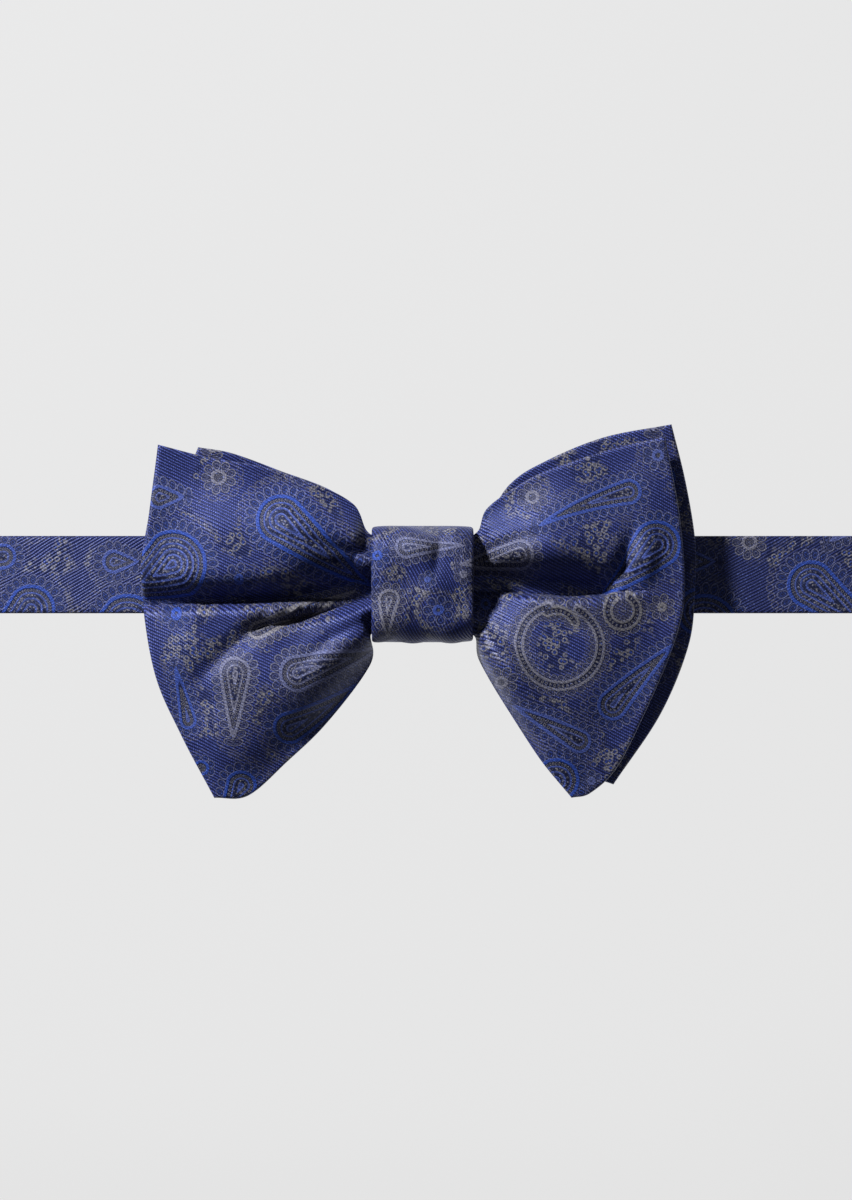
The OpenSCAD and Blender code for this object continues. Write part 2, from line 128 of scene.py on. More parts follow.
class Signal:
    """A shader socket that takes part in Python arithmetic."""

    def __init__(self, bench: "Bench", socket: bpy.types.NodeSocket) -> None:
        """Wraps a socket on a bench."""
        self.bench = bench
        self.socket = socket

    def math(self, operation: str, *others: "Signal | float") -> "Signal":
        """One Math node with this signal as its first value."""
        return self.bench.node("ShaderNodeMath", {"operation": operation}, dict(enumerate((self, *others))))

    def after(self, operation: str, first: float) -> "Signal":
        """One Math node with this signal as its second value."""
        return self.bench.node("ShaderNodeMath", {"operation": operation}, {0: first, 1: self})

    def __add__(self, other: "Signal | float") -> "Signal":
        """self + other"""
        return self.math("ADD", other)

    def __sub__(self, other: "Signal | float") -> "Signal":
        """self - other"""
        return self.math("SUBTRACT", other)

    def __rsub__(self, other: float) -> "Signal":
        """other - self"""
        return self.after("SUBTRACT", other)

    def __mul__(self, other: "Signal | float") -> "Signal":
        """self * other"""
        return self.math("MULTIPLY", other)

    def __truediv__(self, other: "Signal | float") -> "Signal":
        """self / other"""
        return self.math("DIVIDE", other)

    def __pow__(self, power: float) -> "Signal":
        """self ** power"""
        return self.math("POWER", power)

    def __abs__(self) -> "Signal":
        """self without its sign"""
        return self.math("ABSOLUTE")

    __radd__ = __add__
    __rmul__ = __mul__

    def ramp(self, start: float, end: float) -> "Signal":
        """A smooth step of self, 0 at start and 1 at end, whichever is higher."""
        return self.bench.node(
            "ShaderNodeMapRange",
            {"interpolation_type": "SMOOTHSTEP"},
            {"Value": self, "From Min": start, "From Max": end},
        )

    def line(self, middle: float, half: float, soft: float) -> "Signal":
        """1 within half of middle, fading over soft."""
        return abs(self - middle).ramp(half + soft, half - soft)

    def repeat(self, pitch: float) -> "Signal":
        """The distance to the middle of the repeat that self is in."""
        return abs(self.math("FLOORED_MODULO", pitch) - pitch / 2)

    def wave(self, pitch: float) -> "Signal":
        """A sine wave of self from 0 to 1, of that pitch."""
        return (self * (math.tau / pitch)).math("SINE") * 0.5 + 0.5


class Bench:
    """A material while it is made."""

    def __init__(self, name: str) -> None:
        """Starts a material with a Principled shader."""
        self.material = bpy.data.materials.new(name)
        self.material.use_nodes = True
        self.tree = self.material.node_tree
        self.shader = self.tree.nodes["Principled BSDF"]

    def node(
        self,
        kind: str,
        settings: dict[str, object] | None = None,
        inputs: dict[int | str, object] | None = None,
        output: int | str = 0,
    ) -> Signal:
        """Adds one node.

        Args:
            kind: the node's type.
            settings: its properties, which are set first.
            inputs: a value or a signal for each socket, by name or number.
            output: the output to hand back.

        Returns:
            That output.
        """
        made = self.tree.nodes.new(kind)
        for name, value in (settings or {}).items():
            setattr(made, name, value)
        for key, value in (inputs or {}).items():
            if isinstance(value, Signal):
                self.tree.links.new(value.socket, made.inputs[key])
            else:
                made.inputs[key].default_value = value
        return Signal(self, made.outputs[output])

    def blend(self, factor: Signal | float, below: object, above: object) -> Signal:
        """A colour: below where factor is 0 and above where it is 1."""
        return self.node("ShaderNodeMix", {"data_type": "RGBA"}, {0: factor, 6: below, 7: above}, 2)

    def choose(self, factor: Signal, below: Signal, above: Signal) -> Signal:
        """A number: below where factor is 0 and above where it is 1."""
        return self.node("ShaderNodeMix", {"data_type": "FLOAT"}, {0: factor, 2: below, 3: above})

    def vector(self, name: str) -> Signal:
        """One of the piece's own vector attributes."""
        return self.node("ShaderNodeAttribute", {"attribute_name": name}, None, "Vector")

    def split(self, vector: Signal) -> tuple[Signal, Signal, Signal]:
        """A vector's three numbers."""
        parts = self.node("ShaderNodeSeparateXYZ", None, {0: vector}).socket.node
        return tuple(Signal(self, socket) for socket in parts.outputs)

    def noise(self, place: Signal, scale: float, detail: float = 2.0) -> Signal:
        """Soft noise around 0.5, at scale blobs a unit of place."""
        return self.node("ShaderNodeTexNoise", None, {"Vector": place, "Scale": scale, "Detail": detail})

    def cells(self, place: Signal, scale: float) -> Signal:
        """The distance to the nearest of many scattered points, in their own spacing."""
        return self.node("ShaderNodeTexVoronoi", None, {"Vector": place, "Scale": scale})

    def relief(self, height: Signal, depth: float, strength: float) -> None:
        """Raises the surface by a height of 0 to 1.

        Args:
            height: the height.
            depth: what a height of 1 stands for, in millimetres.
            strength: how strongly it turns the light.
        """
        inputs = {"Strength": strength, "Distance": depth * MM, "Height": height}
        self.plug("Normal", self.node("ShaderNodeBump", None, inputs))

    def plug(self, socket: str, signal: Signal) -> None:
        """Feeds one of the shader's sockets."""
        self.tree.links.new(signal.socket, self.shader.inputs[socket])

    def fix(self, constants: dict[str, object]) -> bpy.types.Material:
        """Sets the shader's constants and hands over the finished material."""
        for name, value in constants.items():
            self.shader.inputs[name].default_value = value
        return self.material


# ---- The woven pattern


class Motif(Enum):
    """The kinds of woven figure."""

    PAISLEY = "paisley"
    DAISY = "daisy"
    VINE = "vine"


@dataclass(frozen=True)
class Repeat:
    """The cloth's repeat and the sizes that its figures share."""

    wide: float = 134.0
    high: float = 92.0
    petal: float = 2.0
    petal_long: float = 3.2
    vine_half: float = 1.0
    far: float = 1000.0


REPEAT = Repeat()


@dataclass(frozen=True)
class Figure:
    """One woven figure, with its head or middle at x and y.

    turn is the way that its tail points, or that its arc starts, in degrees. length is the tail's length,
    or the degrees that a vine runs round. bend moves the tail's tip to its left. petals is how long its
    petals are. blue is 1 for a royal blue outline and 0 for a grey one.
    """

    motif: Motif
    x: float
    y: float
    radius: float
    turn: float = 0.0
    length: float = 0.0
    bend: float = 0.0
    petals: float = 3.2
    blue: float = 1.0

    def measure(self, x: Grid, y: Grid) -> tuple[Grid, Grid]:
        """Places points on the figure.

        Args:
            x: how far across the cloth they are.
            y: how far up the cloth they are.

        Returns:
            How far each is outside the outline, negative inside, and how far along the outline.
        """
        dx = (x - self.x + REPEAT.wide / 2) % REPEAT.wide - REPEAT.wide / 2
        dy = (y - self.y + REPEAT.high / 2) % REPEAT.high - REPEAT.high / 2
        turn = math.radians(self.turn)
        along = dx * math.cos(turn) + dy * math.sin(turn)
        across = dy * math.cos(turn) - dx * math.sin(turn)
        middle_of_petals = self.radius + self.petals / 2
        if self.motif is Motif.DAISY:
            petals = max(6, round(math.tau * middle_of_petals / REPEAT.petal))
            return np.hypot(dx, dy) - self.radius, np.arctan2(dy, dx) / math.tau * petals * REPEAT.petal
        if self.motif is Motif.VINE:
            angle = np.degrees(np.arctan2(across, along)) % 360
            ring = np.abs(np.hypot(dx, dy) - self.radius)
            past = np.radians(np.minimum(np.abs(angle - self.length), 360 - angle)) * self.radius
            off = np.where(angle <= self.length, ring, np.hypot(ring, past))
            return off - REPEAT.vine_half, np.radians(angle) * self.radius
        share = np.clip(along / self.length, 0, 1)
        across = across - self.bend * share**2
        past = np.where(along < 0, along, np.maximum(along - self.length, 0))
        off = np.hypot(past, across) - self.radius * (1 - share) ** 0.8
        head = np.arctan2(np.abs(across), np.maximum(-along, 0)) * middle_of_petals
        return off, (head + np.maximum(along, 0)) * np.sign(across)


PAISLEY, DAISY, VINE = Motif.PAISLEY, Motif.DAISY, Motif.VINE

# One repeat of the cloth, as it falls on the front bow.
FIGURES = (
    Figure(PAISLEY, -32.6, 14.6, 5.4, -39, 25.5, 1.5),
    Figure(PAISLEY, -57.5, 4.6, 7.6, 212, 16, -2),
    Figure(PAISLEY, -60.6, 20.0, 2.6, 0, 5.5, 0, 2.6, 0.8),
    Figure(DAISY, -47.0, 24.5, 1.6, petals=2.6, blue=0.1),
    Figure(DAISY, -42.3, 1.4, 0.9, petals=2.8, blue=0.9),
    Figure(DAISY, -56.6, -7.2, 1.0, petals=2.8),
    Figure(PAISLEY, -37.9, -10.6, 2.3, 22, 24, 0, 2.2, 0),
    Figure(PAISLEY, -43.0, -20.6, 3.4, 268, 15, 0, 2.4, 0.2),
    Figure(PAISLEY, -28.8, -20.6, 3.9, 18, 19, 0, 2.6, 0.4),
    Figure(PAISLEY, -30.8, -33.0, 3.6, 27, 18, 2, 2.6),
    Figure(PAISLEY, -54.0, -31.5, 1.9, 103, 13, 0, 1.8, 0.9),
    Figure(DAISY, -51.0, -42.4, 1.7, petals=1.6),
    Figure(PAISLEY, -42.0, -46.5, 3.4, 240, 9, 0, 2.4),
    Figure(PAISLEY, 47.6, 21.2, 2.8, 193, 22, 3.2, 2.3, 0.9),
    Figure(PAISLEY, 54.0, 9.0, 5.4, 224, 17, 0, 2.8),
    Figure(DAISY, 55.2, -5.4, 0.9, petals=2.4, blue=0),
    Figure(VINE, 46.0, -6.2, 3.4, 120, 300, 0, 1.5, 0),
    Figure(VINE, 31.6, -14.2, 9.3, 105, 318, 0, 1.5, 0.1),
    Figure(VINE, 31.0, -10.4, 4.4, 20, 100, 0, 1.4, 0),
    Figure(PAISLEY, 43.8, -27.8, 3.4, 47, 20, -1, 2.6, 0.9),
    Figure(PAISLEY, 36.0, -36.2, 2.6, 150, 17, 0, 2.2, 0.8),
    Figure(PAISLEY, 31.0, -45.2, 5.0, 200, 12, 0, 2.6),
    Figure(DAISY, 39.0, -45.4, 0.8, petals=1.9, blue=0.6),
    Figure(DAISY, 25.5, 19.8, 1.4, petals=2.4, blue=0.1),
    Figure(PAISLEY, 22.6, 6.9, 3.0, 190, 14, 0, 2.4, 0.2),
    Figure(DAISY, 54.4, 29.6, 1.2, petals=2.6, blue=0.7),
    Figure(DAISY, 14.6, -5.0, 1.1, petals=2.6, blue=0.8),
    Figure(DAISY, 18.6, -22.4, 1.2, petals=2.4, blue=0.1),
    Figure(DAISY, 3.6, -6.0, 1.0, petals=2.6, blue=0.9),
    Figure(DAISY, -10.2, 6.5, 0.9, petals=2.4),
    Figure(PAISLEY, -3.6, 8.4, 2.4, 8, 13, -1.5, 1.9, 0.3),
    Figure(PAISLEY, -7.6, -3.6, 2.2, 262, 9, 1.0, 1.9, 0.1),
    Figure(DAISY, 9.4, 2.2, 0.7, petals=1.7, blue=0.2),
    Figure(DAISY, 1.2, 0.9, 0.6, petals=1.6, blue=0.8),
    Figure(PAISLEY, 4.0, 30.0, 4.6, 300, 16, 2, 2.8),
    Figure(PAISLEY, -14.0, 32.0, 3.0, 200, 16, 2, 2.4, 0.6),
    Figure(PAISLEY, 2.0, -30.0, 4.8, 120, 15, -2, 2.8, 0.9),
    Figure(VINE, -16.0, -42.0, 5.0, 30, 280, 0, 1.8, 0.1),
)


def figured(cloth: Grid) -> Grid:
    """Finds the woven figure at each place on the cloth.

    Args:
        cloth: rows of places, in millimetres of cloth.

    Returns:
        Rows of the distance outside the nearest figure, the distance along it, and how blue it is.
    """
    nearest = np.full(len(cloth), REPEAT.far)
    shown = np.zeros((len(cloth), 3))
    for figure in FIGURES:
        off, along = figure.measure(cloth[:, 0], cloth[:, 1])
        off = off * np.where(off > 0, REPEAT.petal_long / figure.petals, 1)
        closer = off < nearest
        nearest[closer] = off[closer]
        shown[closer] = np.column_stack([off, along, np.full(len(cloth), figure.blue)])[closer]
    return shown


# ---- Finishes


@dataclass(frozen=True)
class JacquardSilk:
    """Navy silk: a twill ground with lace filling, and royal blue and grey paisley figures.

    twill is the way that the ribs run on a piece, in degrees from its cloth's x. Pitches and distances are in
    millimetres of cloth, and scales are in blobs or cells a millimetre.
    """

    name: str
    twill: float
    rib: float = 0.66
    # The bow's light yarn; the knot and the band are given darker ones, which are painted shade.
    light: Colour = dye(76, 88, 166)
    dark: Colour = dye(10, 12, 38)
    grey: Colour = dye(132, 129, 128)
    royal: Colour = dye(44, 76, 170)
    night: Colour = dye(7, 8, 20)
    # The colour of the painted glints: bright blue specks of light on the rib tops.
    painted_glint: Colour = dye(112, 134, 214)
    drift_scale: float = 0.09
    drift: float = 1.2
    yarn_scale: float = 3.4
    painted_glint_scale: float = 2.3
    lace_scale: float = 0.72
    lace_patches: float = 0.085
    tier_patches: float = 0.07
    bead_pitch: float = 1.0
    bead_depth: float = 1.0
    beads_end: float = 1.5
    speck_scale: float = 1.7
    ring_pitch: float = 1.3
    loop_pitch: float = 1.5
    loop_out: float = 4.3
    petal_out: float = 1.6
    relief_depth: float = 0.14
    relief_strength: float = 0.7

    def ground(self, bench: Bench, cloth: Signal, ribs: Signal, grain: Signal, out: Signal) -> Signal:
        """The twill ground, with lace in patches.

        Args:
            bench: the material.
            cloth: the place on the cloth.
            ribs: the twill's height.
            grain: the yarns' unevenness.
            out: the distance outside the nearest figure.

        Returns:
            The ground's colour.
        """
        twill = bench.blend(ribs * ribs * 0.85 + grain * 0.25 - 0.05, self.dark, self.light)
        cell = bench.cells(cloth, self.lace_scale)
        ring = cell.line(0.42, 0.1, 0.08)
        eye = bench.blend(cell.ramp(0.3, 0.12), self.night, self.royal)
        lace = bench.blend(ring, eye, self.grey)
        patch = bench.noise(cloth, self.lace_patches, 1.5).ramp(0.47, 0.56) * out.ramp(3.4, 4.2)
        return bench.blend(patch * (ring * 0.4 + 0.5), twill, lace)

    def heart(self, bench: Bench, cloth: Signal, inner: Signal, along: Signal, blue: Signal) -> Signal:
        """The inside of a figure: a row of beads, then rings.

        Args:
            bench: the material.
            cloth: the place on the cloth.
            inner: the distance inside the outline.
            along: the distance along the outline.
            blue: how blue the figure is.

        Returns:
            The inside's colour.
        """
        bead = along.repeat(self.bead_pitch) / 0.34, abs(inner - self.bead_depth) / 0.36
        bead = (bead[0] ** 2.0 + bead[1] ** 2.0).math("SQRT")
        beads = bench.blend(bead.line(0.8, 0.15, 0.2), self.night, self.grey)
        specks = bench.blend(bench.cells(cloth, self.speck_scale).ramp(0.5, 0.3) * 0.8, self.night, self.grey)
        bright = bench.blend(blue * 0.8, self.grey, self.royal)
        rings = bench.blend(inner.wave(self.ring_pitch).ramp(0.5, 0.85), specks, bright)
        rings = bench.blend(inner.wave(self.ring_pitch / 2).ramp(0.25, 0.05) * 0.6, rings, self.night)
        return bench.blend(inner.ramp(self.beads_end, self.beads_end - 0.15), rings, beads)

    def make(self) -> bpy.types.Material:
        """Weaves the silk's material.

        Returns:
            The material.
        """
        bench = Bench(self.name)
        cloth = bench.vector("cloth")
        u, v, _ = bench.split(cloth)
        out, along, blue = bench.split(bench.vector("figure"))
        inner = out * -1.0
        turn = math.radians(self.twill)
        drift = bench.noise(cloth, self.drift_scale, 1.0) * self.drift
        crosswise = v * math.cos(turn) - u * math.sin(turn) + drift
        lengthwise = u * math.cos(turn) + v * math.sin(turn)
        ribs = crosswise.wave(self.rib) * ((lengthwise + crosswise * 0.5).wave(self.rib * 0.8) * 0.4 + 0.66)
        grain = bench.noise(cloth, self.yarn_scale)

        outline = bench.blend(blue, self.grey, self.royal)
        thread = bench.blend(blue * 0.4, self.grey, self.royal)
        petal = along.repeat(REPEAT.petal) / 0.98, abs(out - self.petal_out) / 1.62
        petal = (petal[0] ** 2.0 + petal[1] ** 2.0).math("SQRT")
        petal_edge = petal.line(0.86, 0.09, 0.13) * out.ramp(0.1, 0.5)
        petal_heart = petal.line(0.4, 0.06, 0.12)
        petal_zone = petal.ramp(1.02, 0.9) * out.ramp(0.1, 0.3)
        band = inner.line(0.08, 0.42, 0.14)

        twill = self.ground(bench, cloth, ribs, grain, out)
        petals = bench.blend(petal_edge, bench.blend(0.62, twill, self.night), thread)
        petals = bench.blend(petal_heart * 0.6, petals, outline)
        loop = along.repeat(self.loop_pitch) / 0.72, abs(out - self.loop_out) / 0.95
        loop = (loop[0] ** 2.0 + loop[1] ** 2.0).math("SQRT")
        patch = bench.noise(cloth, self.tier_patches, 1.0).ramp(0.48, 0.56)
        tier = patch * loop.line(0.84, 0.1, 0.16) * out.ramp(3.0, 3.4)
        twill = bench.blend(tier * 0.55, twill, self.grey)
        shade = bench.blend(out.ramp(0.9, 0.5) * 0.7, twill, self.night)
        shade = bench.blend(petal_zone, shade, petals)
        shade = bench.blend(inner.ramp(0.2, 0.35), shade, self.heart(bench, cloth, inner, along, blue))
        shade = bench.blend(band * 0.9, shade, outline)
        pick = crosswise.wave(self.rib / 2)
        dim = grain.ramp(0.4, 0.6) * 0.45 + (1 - ribs) * 0.35 + (1 - pick) * 0.1
        # Painted glints: bright blue specks put into the base colour on the rib tops, standing for the silk's
        # sparkle of light.
        painted_glint = bench.noise(cloth, self.painted_glint_scale, 3.0).ramp(0.56, 0.68) * ribs * 0.4
        bench.plug("Base Color", bench.blend(painted_glint, bench.blend(dim, shade, self.dark), self.painted_glint))

        woven = (petal_zone + inner.ramp(-0.4, -0.2)).math("MINIMUM", 1.0)
        raised = band * 0.8 + petal_edge * petal_zone * 0.5 + inner.wave(1.15) * inner.ramp(1.5, 1.9) * 0.5
        height = bench.choose(woven, ribs, raised + pick * 0.3) + grain * 0.35
        bench.relief(height, self.relief_depth, self.relief_strength)
        bench.plug("Roughness", woven * 0.12 + grain * 0.16 + 0.36)
        return bench.fix({
            "Specular IOR Level": 0.42,
            "Specular Tint": dye(176, 188, 255),
            "Sheen Weight": 0.12,
            "Sheen Roughness": 0.4,
            "Sheen Tint": dye(170, 180, 235),
        })


@dataclass(frozen=True)
class BrightNickel:
    """Polished nickel plate with fine hairlines. hairs and clouds are in blobs a metre."""

    name: str = "bright_nickel"
    hairs: tuple[float, float, float] = (4000.0, 300.0, 900.0)
    clouds: float = 240.0

    def make(self) -> bpy.types.Material:
        """Plates the metal's material.

        Returns:
            The material.
        """
        bench = Bench(self.name)
        place = bench.node("ShaderNodeTexCoord", None, None, "Object")
        stretched = bench.node("ShaderNodeMapping", None, {0: place, "Scale": self.hairs})
        hair = bench.noise(stretched, 1.0)
        cloud = bench.noise(place, self.clouds, 3.0)
        bench.plug("Base Color", bench.blend(cloud, dye(196, 194, 190), dye(226, 224, 219)))
        bench.plug("Roughness", hair * 0.14 + cloud * 0.12 + 0.1)
        bench.relief(hair, 0.01, 0.25)
        return bench.fix({"Metallic": 1.0})


@dataclass(frozen=True)
class SewingThread:
    """Twisted sewing thread."""

    name: str = "sewing_thread"
    twist: float = 1400.0

    def make(self) -> bpy.types.Material:
        """Twists the thread's material.

        Returns:
            The material.
        """
        bench = Bench(self.name)
        place = bench.node("ShaderNodeTexCoord", None, None, "Object")
        inputs = {"Vector": place, "Scale": self.twist}
        twist = bench.node("ShaderNodeTexWave", {"bands_direction": "DIAGONAL"}, inputs, "Fac")
        bench.plug("Base Color", bench.blend(twist, dye(16, 18, 42), dye(60, 66, 122)))
        bench.plug("Roughness", twist * 0.2 + 0.5)
        bench.relief(twist, 0.05, 0.6)
        return bench.fix({"Specular IOR Level": 0.35})


@dataclass(frozen=True)
class PaleGround:
    """The plain pale surface under the tie, lit evenly by its own faint glow."""

    name: str = "pale_ground"

    def make(self) -> bpy.types.Material:
        """Makes the ground's material.

        Returns:
            The material.
        """
        bench = Bench(self.name)
        return bench.fix({
            "Base Color": dye(46, 46, 47),
            "Roughness": 0.9,
            "Specular IOR Level": 0.1,
            "Emission Color": dye(233, 233, 233),
            "Emission Strength": 0.93,
        })


# ---- Needlework


def keep(
    name: str, bm: bmesh.types.BMesh, finish: bpy.types.Material, corner: float = 60
) -> bpy.types.Object:
    """Makes a piece of a mesh in millimetres, with its place in the frame.

    Args:
        name: the piece's name.
        bm: its mesh, which is used up.
        finish: its material.
        corner: the angle in degrees past which an edge is sharp.

    Returns:
        The piece.
    """
    for face in bm.faces:
        face.smooth = True
    bmesh.ops.transform(bm, matrix=TO_FRAME, verts=bm.verts[:])
    mesh = bpy.data.meshes.new(name)
    bm.to_mesh(mesh)
    bm.free()
    mesh.set_sharp_from_angle(angle=math.radians(corner))
    mesh.materials.append(finish)
    piece = bpy.data.objects.new(name, mesh)
    bpy.context.scene.collection.objects.link(piece)
    return piece


class Ends(Enum):
    """How a pair of plies ends along its length."""

    SEWN = "sewn"
    CUT = "cut"


@dataclass
class PlyPair:
    """Two plies of cloth sewn together round a middle surface: one closed, slightly padded sheet.

    surface takes shares along and across, from 0 to 1, and gives points. cloth takes the same shares and
    gives places on the cloth. size is the sheet's length and width, and steps how finely each is divided.
    """

    name: str
    surface: Callable[[Grid, Grid], Grid]
    cloth: Callable[[Grid, Grid], Grid]
    size: Point
    steps: tuple[int, int]
    thickness: float
    ends: tuple[Ends, Ends] = (Ends.SEWN, Ends.SEWN)
    roll_steps: int = 3

    def shares(self, count: int, size: float, sewn: Sequence[bool]) -> Grid:
        """Shares from 0 to 1, closer where a sewn edge rolls over.

        Args:
            count: how many steps there are.
            size: the length that they divide.
            sewn: whether the first and the last edge are sewn.

        Returns:
            The shares in order.
        """
        quarter = np.linspace(0, math.pi / 2, self.roll_steps + 1)
        rolled = self.thickness / 2 * (1 - np.cos(quarter)) / size
        first = rolled if sewn[0] else rolled[:1]
        last = (1 - rolled[::-1]) if sewn[1] else np.array([1.0])
        inner = np.linspace(first[-1], last[0], count - len(first) - len(last) + 3)
        return np.concatenate([first[:-1], inner, last[1:]])

    def half_thickness(self, along: Grid, across: Grid) -> Grid:
        """Half the thickness at each place, rolled to nothing at a sewn edge.

        Args:
            along: shares of the length.
            across: shares of the width.

        Returns:
            Half the thickness there.
        """
        inwards = np.minimum(across, 1 - across) * self.size[1]
        if self.ends[0] is Ends.SEWN:
            inwards = np.minimum(inwards, along * self.size[0])
        if self.ends[1] is Ends.SEWN:
            inwards = np.minimum(inwards, (1 - along) * self.size[0])
        rolled = np.clip(inwards / (self.thickness / 2), 0, 1)
        return self.thickness / 2 * np.sqrt(1 - (1 - rolled) ** 2)

    def make(self, finish: bpy.types.Material) -> bpy.types.Object:
        """Builds the sheet, with its place on the cloth and its woven figures.

        Args:
            finish: the silk.

        Returns:
            The piece.
        """
        lengthwise = self.shares(self.steps[0], self.size[0], [end is Ends.SEWN for end in self.ends])
        widthwise = self.shares(self.steps[1], self.size[1], (True, True))
        along, across = np.meshgrid(lengthwise, widthwise, indexing="ij")
        middle = self.surface(along, across)
        outwards = np.cross(np.gradient(middle, axis=0), np.gradient(middle, axis=1))
        outwards /= np.linalg.norm(outwards, axis=2, keepdims=True)
        offset = outwards * self.half_thickness(along, across)[:, :, None]
        cloth = self.cloth(along, across)
        shown = figured(cloth.reshape(-1, 2)).reshape(*cloth.shape[:2], 3)

        bm = bmesh.new()
        cloth_layer = bm.verts.layers.float_vector.new("cloth")
        figure_layer = bm.verts.layers.float_vector.new("figure")
        rows, columns = len(lengthwise) - 1, len(widthwise) - 1
        bmesh.ops.create_grid(bm, x_segments=rows, y_segments=columns, size=0.5)
        copy = bmesh.ops.duplicate(bm, geom=bm.verts[:] + bm.edges[:] + bm.faces[:])["geom"]
        under = {item for item in copy if isinstance(item, bmesh.types.BMVert)}
        bmesh.ops.reverse_faces(bm, faces=[item for item in copy if isinstance(item, bmesh.types.BMFace)])
        for vert in bm.verts:
            i, j = round((vert.co.x + 0.5) * rows), round((vert.co.y + 0.5) * columns)
            vert.co = middle[i, j] - offset[i, j] if vert in under else middle[i, j] + offset[i, j]
            vert[cloth_layer] = (*cloth[i, j], 0)
            vert[figure_layer] = shown[i, j]
        bmesh.ops.remove_doubles(bm, verts=bm.verts[:], dist=1e-4)
        bmesh.ops.holes_fill(bm, edges=[edge for edge in bm.edges if edge.is_boundary], sides=0)
        return keep(self.name, bm, finish)


# ---- The bow


def smooth_curve(points: Sequence[Point], share: Grid) -> Grid:
    """A smooth curve through points, as the frame draws it.

    Args:
        points: what it passes through.
        share: 0 at the first point to 1 at the last.

    Returns:
        The place at each share.
    """
    knots = np.array(points, float)
    last = len(knots) - 1
    pull = np.gradient(knots, axis=0)
    index = np.minimum((share * last + 1e-4).astype(int), last - 1)
    t = (share * last - index)[..., None]
    h = t * t * (3 - 2 * t)
    return (
        (1 - h) * knots[index]
        + h * knots[index + 1]
        + t * (1 - t) ** 2 * pull[index]
        - t * t * (1 - t) * pull[index + 1]
    )


@dataclass(frozen=True)
class Wing:
    """The outline of one wing as shares of its reach and of the bow's rise or drop."""

    lower: tuple[Point, ...]
    upper: tuple[Point, ...]
    outer: tuple[Point, ...]

    def surface(self, reach: float, waist: Sequence[Point], u: Grid, v: Grid) -> Grid:
        """Spreads a wing over its outline.

        Args:
            reach: how far it reaches, negative to the left.
            waist: half the height at the waist and beside the knot, with their distances out.
            u: shares from the waist to the outer edge.
            v: shares from the lower to the upper edge.

        Returns:
            Places across and up the bow.
        """
        rise, drop = BOW_RISE, BOW_DROP
        outer = [(x * reach, y * (rise if y > 0 else drop)) for x, y in self.outer]
        side = math.copysign(1, reach)
        lower = [(side * x, -y) for x, y in waist] + [(x * reach, y * drop) for x, y in self.lower]
        upper = [(side * x, y) for x, y in waist] + [(x * reach, y * rise) for x, y in self.upper]
        ends = [np.array(p, float) for p in (lower[0], upper[0], lower[-1], upper[-1])]
        u_, v_ = u[..., None], v[..., None]
        return (
            mix(smooth_curve(lower, u), smooth_curve(upper, u), v_)
            + mix(mix(ends[0], ends[1], v_), smooth_curve(outer, 1 - v), u_)
            - mix(mix(ends[0], ends[2], u_), mix(ends[1], ends[3], u_), v_)
        )


@dataclass(frozen=True)
class Fold:
    """A fold along a line, as deep at each point as depths says, and raised where that is negative.

    above and below are how wide it is to the left and to the right of the way that the line runs.
    """

    points: tuple[Point, ...]
    depths: tuple[float, ...]
    above: float
    below: float

    def depth(self, places: Grid) -> Grid:
        """How deep the fold is.

        Args:
            places: places across and up the bow.

        Returns:
            The depth at each place.
        """
        nearest = np.full(places.shape[:-1], REPEAT.far)
        found = np.zeros(places.shape[:-1])
        for a, b, deep_a, deep_b in zip(self.points, self.points[1:], self.depths, self.depths[1:]):
            start, run = np.array(a), np.array(b) - np.array(a)
            share = np.clip((places - start) @ run / (run @ run), 0, 1)
            away = places - start - share[..., None] * run
            side = run[0] * away[..., 1] - run[1] * away[..., 0]
            reach = np.linalg.norm(away, axis=-1) / np.where(side > 0, self.above, self.below)
            closer = reach < nearest
            nearest = np.where(closer, reach, nearest)
            found = np.where(closer, mix(deep_a, deep_b, share) * np.exp(-(reach**2)), found)
        return found


LEFT_REACH, RIGHT_REACH = Frame.low("front_bow_face").x, Frame.high("rear_bow_face").x
BOW_RISE = Frame.high("rear_bow_face").y - KNOT_Y
BOW_DROP = KNOT_Y - Frame.low("front_bow_face").y


